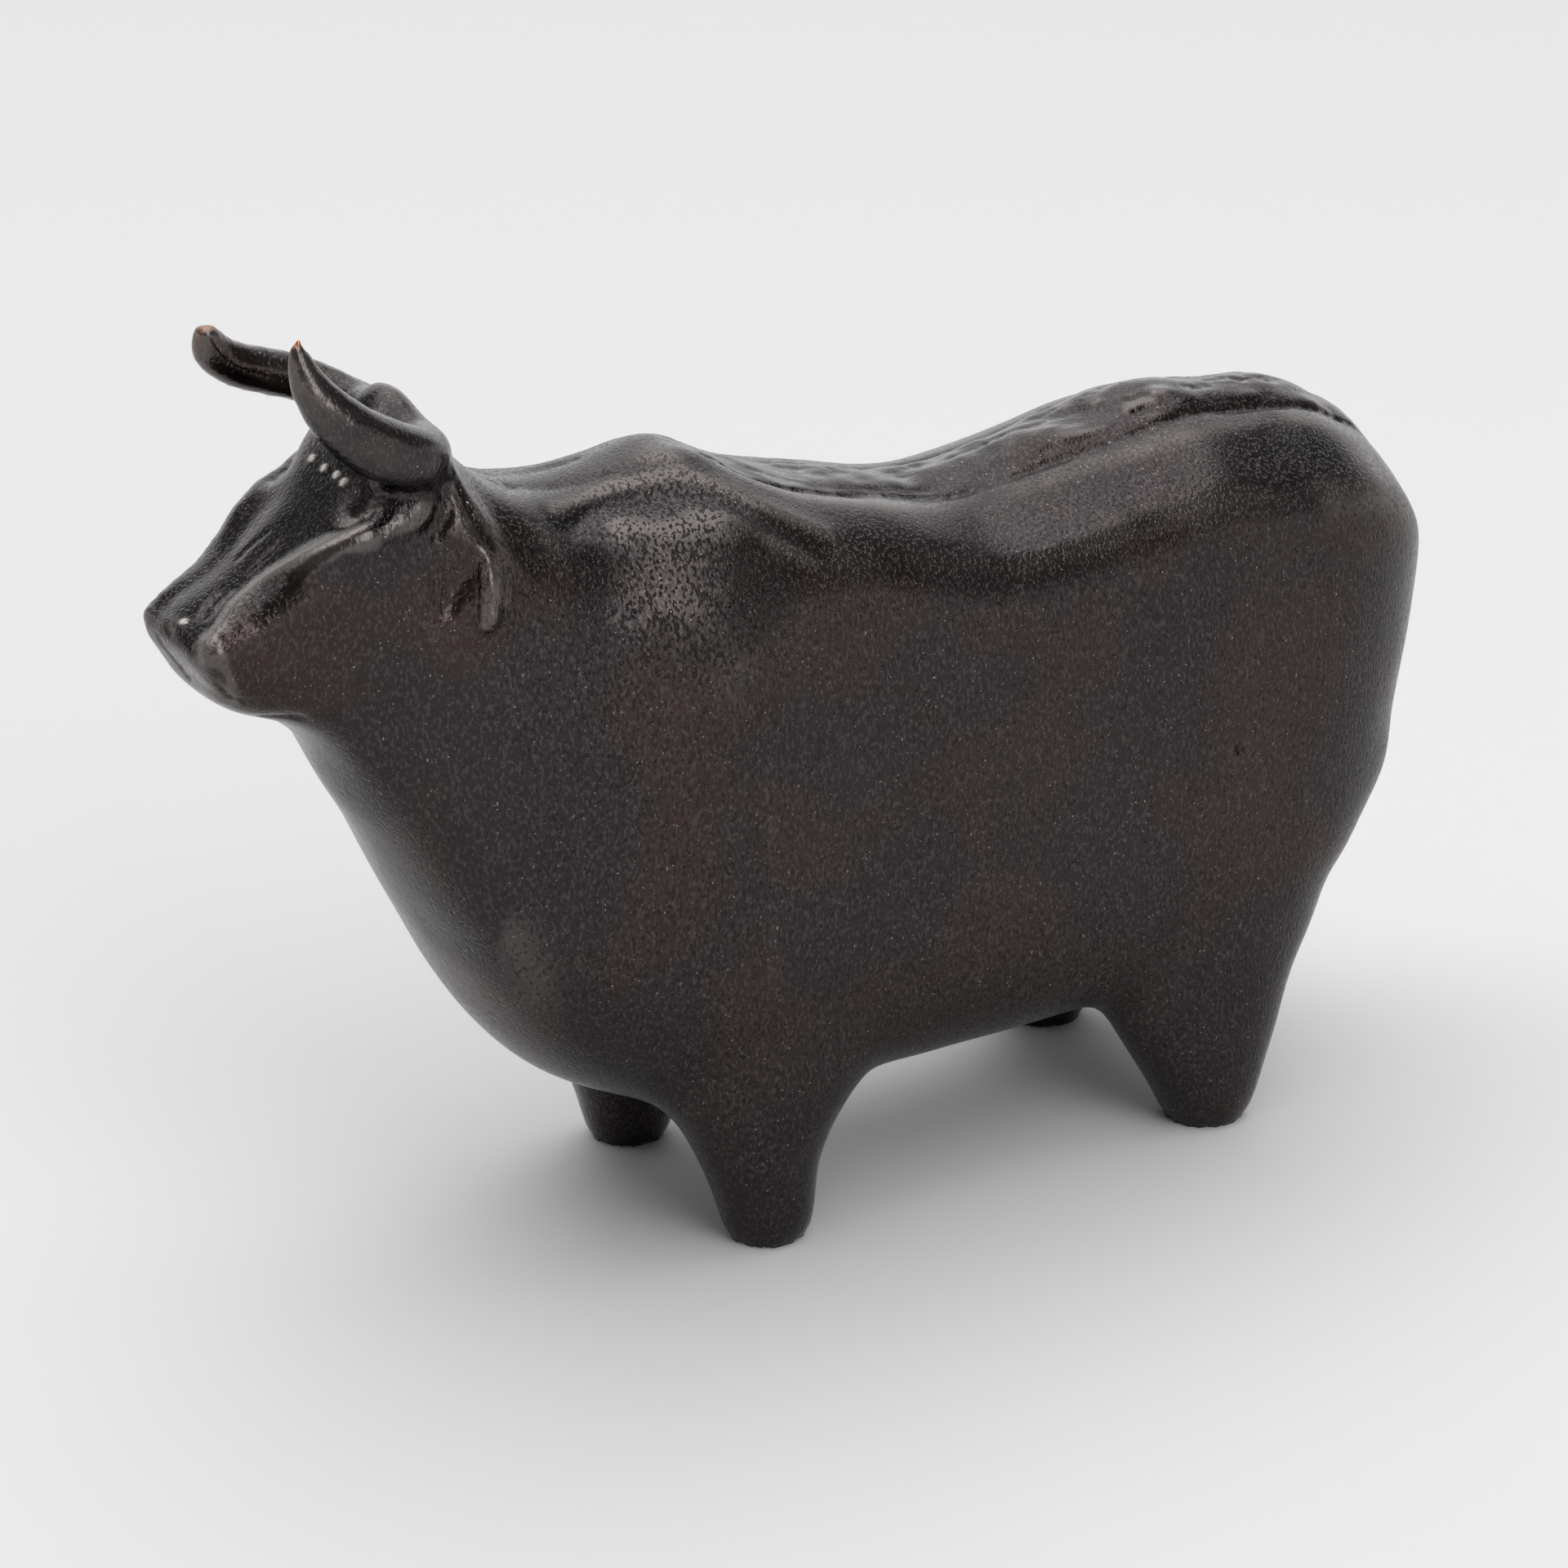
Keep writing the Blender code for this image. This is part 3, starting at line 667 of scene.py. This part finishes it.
class BULL_OT_casting(bpy.types.Operator):
    """Make the bull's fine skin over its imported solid, work it and patinate it"""

    bl_idname = "bronze_bull.casting"
    bl_label = "Cast the Bull"

    def execute(self, context):
        settings = context.scene.bull
        mesh = remeshed(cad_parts["bull"].data.copy(), settings.skin)
        points = coordinates(mesh)
        head = smooth_step(-points[:, 1], *NECK)[:, None]
        smooth = without_facets(mesh, points, BODY_ROUNDS)
        points = smooth + head * (without_facets(mesh, points, HEAD_ROUNDS) - smooth)
        move_to(mesh, points)
        made_finer(mesh, self.detailed(points))
        points = coordinates(mesh)
        move_to(mesh, without_facets(mesh, points, LAST_ROUNDS))

        paired = [made for mark in PAIRED_MARKS + SHOULDER_MARKS for made in (mark, mirrored(mark))]
        flecks = tuple(Mark(FLECK, FLECK_HEIGHT, (place, place)) for place in FLECKS)
        work(mesh, paired)
        work(mesh, (RIB, mirrored(RIB)._replace(height=FAR_RIB_HEIGHT)))
        work(mesh, SINGLE_MARKS + HORN_MARKS + flecks)
        work(mesh, spine_marks(settings.seed))
        self.soften(mesh)
        self.sway(mesh, settings.waviness / MM)
        self.stand(mesh)
        self.finish(mesh)

        mesh.materials.clear()
        mesh.materials.append(patinated_bronze(settings))
        mesh.shade_smooth()
        mesh.name = "bull_casting"
        casting = bpy.data.objects.new("bull_casting", mesh)
        context.scene.collection.objects.link(casting)
        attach(casting, "root")
        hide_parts("bull")
        return {"FINISHED"}

    def detailed(self, points):
        """Whether each point is where the marks are fine: the head, the spine and the blow hole."""
        head = points[:, 1] < FINE_HEAD
        spine = (
            (np.abs(points[:, 0]) < SPINE_HALF_WIDTH + FINE_SPINE_MARGIN)
            & (points[:, 2] > FINE_SPINE_BASE)
            & (points[:, 1] > FINE_SPINE_START)
        )
        hole = distance_to_places(points, BLOW_HOLE.path[:1]) < FINE_HOLE
        return head | spine | hole

    def soften(self, mesh):
        """The head's marks rubbed down with the wax."""
        points = coordinates(mesh)
        head = smooth_step(-points[:, 1], *JAW)[:, None]
        move_to(mesh, points + head * (without_facets(mesh, points, LAST_ROUNDS) - points))

    def sway(self, mesh, depth):
        """The slow swells of wax smoothed by hand, and the lumps left along the spine."""
        points = coordinates(mesh)
        on_spine = 1 - smooth_step(np.abs(points[:, 0]), *LUMPS_ACROSS)
        on_spine *= smooth_step(points[:, 1], *LUMPS_ALONG) * smooth_step(points[:, 2], *LUMPS_UP)
        lift = depth * noise_at(points, SWELL)
        lift += LUMP_HEIGHT * depth * on_spine * noise_at(points * LUMP_STRETCH, LUMP)
        move_to(mesh, points + lift[:, None] * normals(mesh))

    def stand(self, mesh):
        """Soles flat on the floor."""
        points = coordinates(mesh)
        sole = (points[:, 2] < SOLE) & (normals(mesh)[:, 2] < FACING_DOWN)
        points[:, 2] = np.where(sole, 0.0, np.maximum(points[:, 2], 0.0))
        move_to(mesh, points)

    def finish(self, mesh):
        """Attributes for the material, each with a number for every point of the skin."""
        points = coordinates(mesh)
        outward = normals(mesh)
        for name, values in (
            ("wear", self.wear(points)),
            ("pitting", self.pitting(points, outward)),
            ("warmth", self.warmth(points, outward)),
            ("polish_and_painted_light", self.polish_and_painted_light(mesh, points)),
            ("plaster", self.plaster(points)),
        ):
            mesh.attributes.new(name, "FLOAT", "POINT").data.foreach_set("value", values)

    def wear(self, points):
        """Bare metal where handling has worn off the patina."""
        return 1 - smooth_step(distance_to_places(points, HORN_TIPS), *WORN)

    def plaster(self, points):
        """Specks of the mould's plaster."""
        return 1 - smooth_step(distance_to_places(points, nearest_to(points, FLECKS)), *FLECK_REACH)

    def polish_and_painted_light(self, mesh, points):
        """Worn edges with a painted highlight, up to 1; painted shade in hollows and on feet, down to
        -1.
        """
        smooth = relaxed(mesh, points, EDGE_ROUNDS)
        stands_out = np.sum((points - smooth) * normals(mesh), axis=1)
        # Edges that stand out are paler, from wear and a painted highlight; hollows get painted
        # shade.
        polish_and_painted_light = EDGE_WEAR_AND_HIGHLIGHT * smooth_step(stands_out, *EDGES) - smooth_step(-stands_out, *EDGES)
        # Highlights painted along the rib of the face and round the eye.
        for path, inner, outer, share in PAINTED_HIGHLIGHTS:
            distance = distance_to_path(points, curve_through(nearest_to(points, path)))
            polish_and_painted_light = np.maximum(polish_and_painted_light, share * (1 - smooth_step(distance, inner, outer)))
        # Painted shade round the blow hole.
        hole = distance_to_places(points, nearest_to(points, BLOW_HOLE.path[:1]))
        polish_and_painted_light -= 1 - smooth_step(hole, *HOLE_PAINTED_SHADE)
        # Painted shade on the feet, near the floor.
        return polish_and_painted_light - FOOT_PAINTED_SHADE * (1 - smooth_step(points[:, 2], *FEET))

    def warmth(self, points, outward):
        """Brown clouds on the sides, fewer on upturned surfaces, on the shoulder highlight, and low
        down, partly as painted shade.
        """
        clouds = smooth_step(noise_at(points, CLOUD, CLOUD_OCTAVES), *CLOUD_EDGE)
        upturned = smooth_step(outward[:, 2], *UPTURNED)
        # Low down the brown gives way to black: a cooler patina, and painted shade near the floor.
        cooled = np.maximum(upturned, LOW_COOLING_AND_SHADE * (1 - smooth_step(points[:, 2], *LOW)))
        # The shoulders lose their brown where the highlight falls, so the highlight reads white.
        for place, reach in SHOULDERS:
            distance = distance_to_places(folded(points), [place])
            shoulder = 1 - smooth_step(distance, SHOULDER_HIGHLIGHT_CORE * reach, reach)
            cooled = np.maximum(cooled, SHOULDER_HIGHLIGHT_COOLING * shoulder)
        return clouds * (1 - COOLING * cooled)

    def pitting(self, points, outward):
        """How deep the mould's pits are: deepest on the shoulders, and partly filled elsewhere."""
        depth = PIT_DEPTH + PIT_CHANGE * noise_at(points, PIT_PATCH)
        for place, reach in SHOULDERS:
            distance = distance_to_places(folded(points), [place])
            depth += SHOULDER_PITS * (1 - smooth_step(distance, SHOULDER_PIT_CORE * reach, reach))
        measures = {
            "aside": np.abs(points[:, 0]), "back": points[:, 1], "up": points[:, 2],
            "upturned": outward[:, 2],
        }
        filled = np.max([
            share * np.prod([smooth_step(measures[name], *fade) for name, *fade in fades], axis=0)
            for share, fades in FILLED
        ], axis=0)
        return np.clip(depth * (1 - filled), 0.0, 1.0)


class BULL_OT_stage(bpy.types.Operator):
    """Lay the floor, light the studio and place the camera"""

    bl_idname = "bronze_bull.stage"
    bl_label = "Set the Stage"

    def execute(self, context):
        settings = context.scene.bull_studio
        self.floor(context, settings)
        self.sky(context, settings)
        self.camera(context, settings)
        for row in SOFTBOXES:
            self.softbox(context, *row)
        context.scene.view_settings.view_transform = "Standard"
        return {"FINISHED"}

    def floor(self, context, settings):
        mesh = bpy.data.meshes.new("floor")
        near, far = -FLOOR_REACH, FLOOR_REACH
        corners = [(near, near, 0), (far, near, 0), (far, far, 0), (near, far, 0)]
        mesh.from_pydata(corners, [], [(0, 1, 2, 3)])
        mesh.materials.append(matt_floor(settings.floor))
        board = bpy.data.objects.new("floor", mesh)
        context.scene.collection.objects.link(board)

    def sky(self, context, settings):
        """One dome: a dark room with a white ceiling, a backdrop and a strip round the floor."""
        world = bpy.data.worlds.new("studio")
        world.use_nodes = True
        tree = world.node_tree
        direction = add_node(tree, "ShaderNodeTexCoord").outputs["Generated"]
        up = add_node(tree, "ShaderNodeSeparateXYZ", {"Vector": direction}).outputs["Z"]
        behind = add_node(
            tree, "ShaderNodeVectorMath", {0: direction, 1: -towards(settings.azimuth, 0.0)},
            operation="DOT_PRODUCT",
        ).outputs["Value"]
        overhead = add_node(
            tree, "ShaderNodeMath", {0: behind, 1: CEILING_TILT, 2: up}, operation="MULTIPLY_ADD",
        ).outputs["Value"]
        fades = [
            add_node(
                tree, "ShaderNodeMapRange",
                {
                    "Value": value, "From Min": start, "From Max": end,
                    "To Min": first, "To Max": last,
                },
                interpolation_type="SMOOTHSTEP",
            ).outputs["Result"]
            for value, start, end, first, last in (
                (behind, 0.60, 0.78, 0.0, 1.0),  # the backdrop, and how far it reaches round
                (up, sine(38), sine(48), 1.0, 0.0),  # its top
                (up, sine(6), sine(12), 0.8, 0.0),  # the strip round the floor
                (overhead, 0.82, 0.89, settings.gloom, settings.ceiling),
            )
        ]
        white = fades[0]
        for operation, other in (
            ("MULTIPLY", fades[1]), ("MAXIMUM", fades[2]),
            ("MULTIPLY", settings.backdrop), ("ADD", fades[3]),
        ):
            white = add_node(
                tree, "ShaderNodeMath", {0: white, 1: other}, operation=operation,
            ).outputs["Value"]
        tree.links.new(white, tree.nodes["Background"].inputs["Strength"])
        tree.nodes["Background"].inputs["Color"].default_value = (1.0, 1.0, 1.0, 1.0)
        context.scene.world = world

    def camera(self, context, settings):
        camera = bpy.data.objects.new("camera", bpy.data.cameras.new("camera"))
        camera.data.lens = settings.lens
        back = towards(settings.azimuth, settings.elevation)
        camera.location = AIM + back * settings.distance
        camera.rotation_euler = back.to_track_quat("Z", "Y").to_euler()
        context.scene.collection.objects.link(camera)
        context.scene.camera = camera

    def softbox(self, context, name, azimuth, elevation, distance, size, brightness):
        light = bpy.data.lights.new(name, "AREA")
        light.shape = "RECTANGLE"
        light.size, light.size_y = size
        light.energy = brightness * math.pi * size[0] * size[1]
        box = bpy.data.objects.new(name, light)
        away = towards(math.radians(azimuth), math.radians(elevation))
        box.location = LIT + away * distance
        box.rotation_euler = away.to_track_quat("Z", "Y").to_euler()
        context.scene.collection.objects.link(box)


def sine(degrees):
    return math.sin(math.radians(degrees))


def towards(azimuth, elevation):
    """The direction from the bull: azimuth 0 is before its face and 90 degrees is on its left."""
    across = math.cos(elevation)
    return Vector((math.sin(azimuth) * across, -math.cos(azimuth) * across, math.sin(elevation)))


class VIEW3D_PT_bronze_bull(bpy.types.Panel):
    bl_label = "Bronze Bull"
    bl_space_type = "VIEW_3D"
    bl_region_type = "UI"
    bl_category = "Bronze Bull"

    def draw(self, context):
        for operator, settings in (
            (BULL_OT_casting, context.scene.bull),
            (BULL_OT_stage, context.scene.bull_studio),
        ):
            box = self.layout.box()
            box.operator(operator.bl_idname)
            for name in settings.__annotations__:
                box.prop(settings, name)


CLASSES = (BullSettings, StudioSettings, BULL_OT_casting, BULL_OT_stage, VIEW3D_PT_bronze_bull)


def register():
    for made in CLASSES:
        bpy.utils.register_class(made)
    bpy.types.Scene.bull = PointerProperty(type=BullSettings)
    bpy.types.Scene.bull_studio = PointerProperty(type=StudioSettings)


def unregister():
    del bpy.types.Scene.bull_studio
    del bpy.types.Scene.bull
    for made in reversed(CLASSES):
        bpy.utils.unregister_class(made)


def main():
    register()
    bpy.ops.bronze_bull.casting()
    bpy.ops.bronze_bull.stage()


if __name__ == "__main__":
    main()
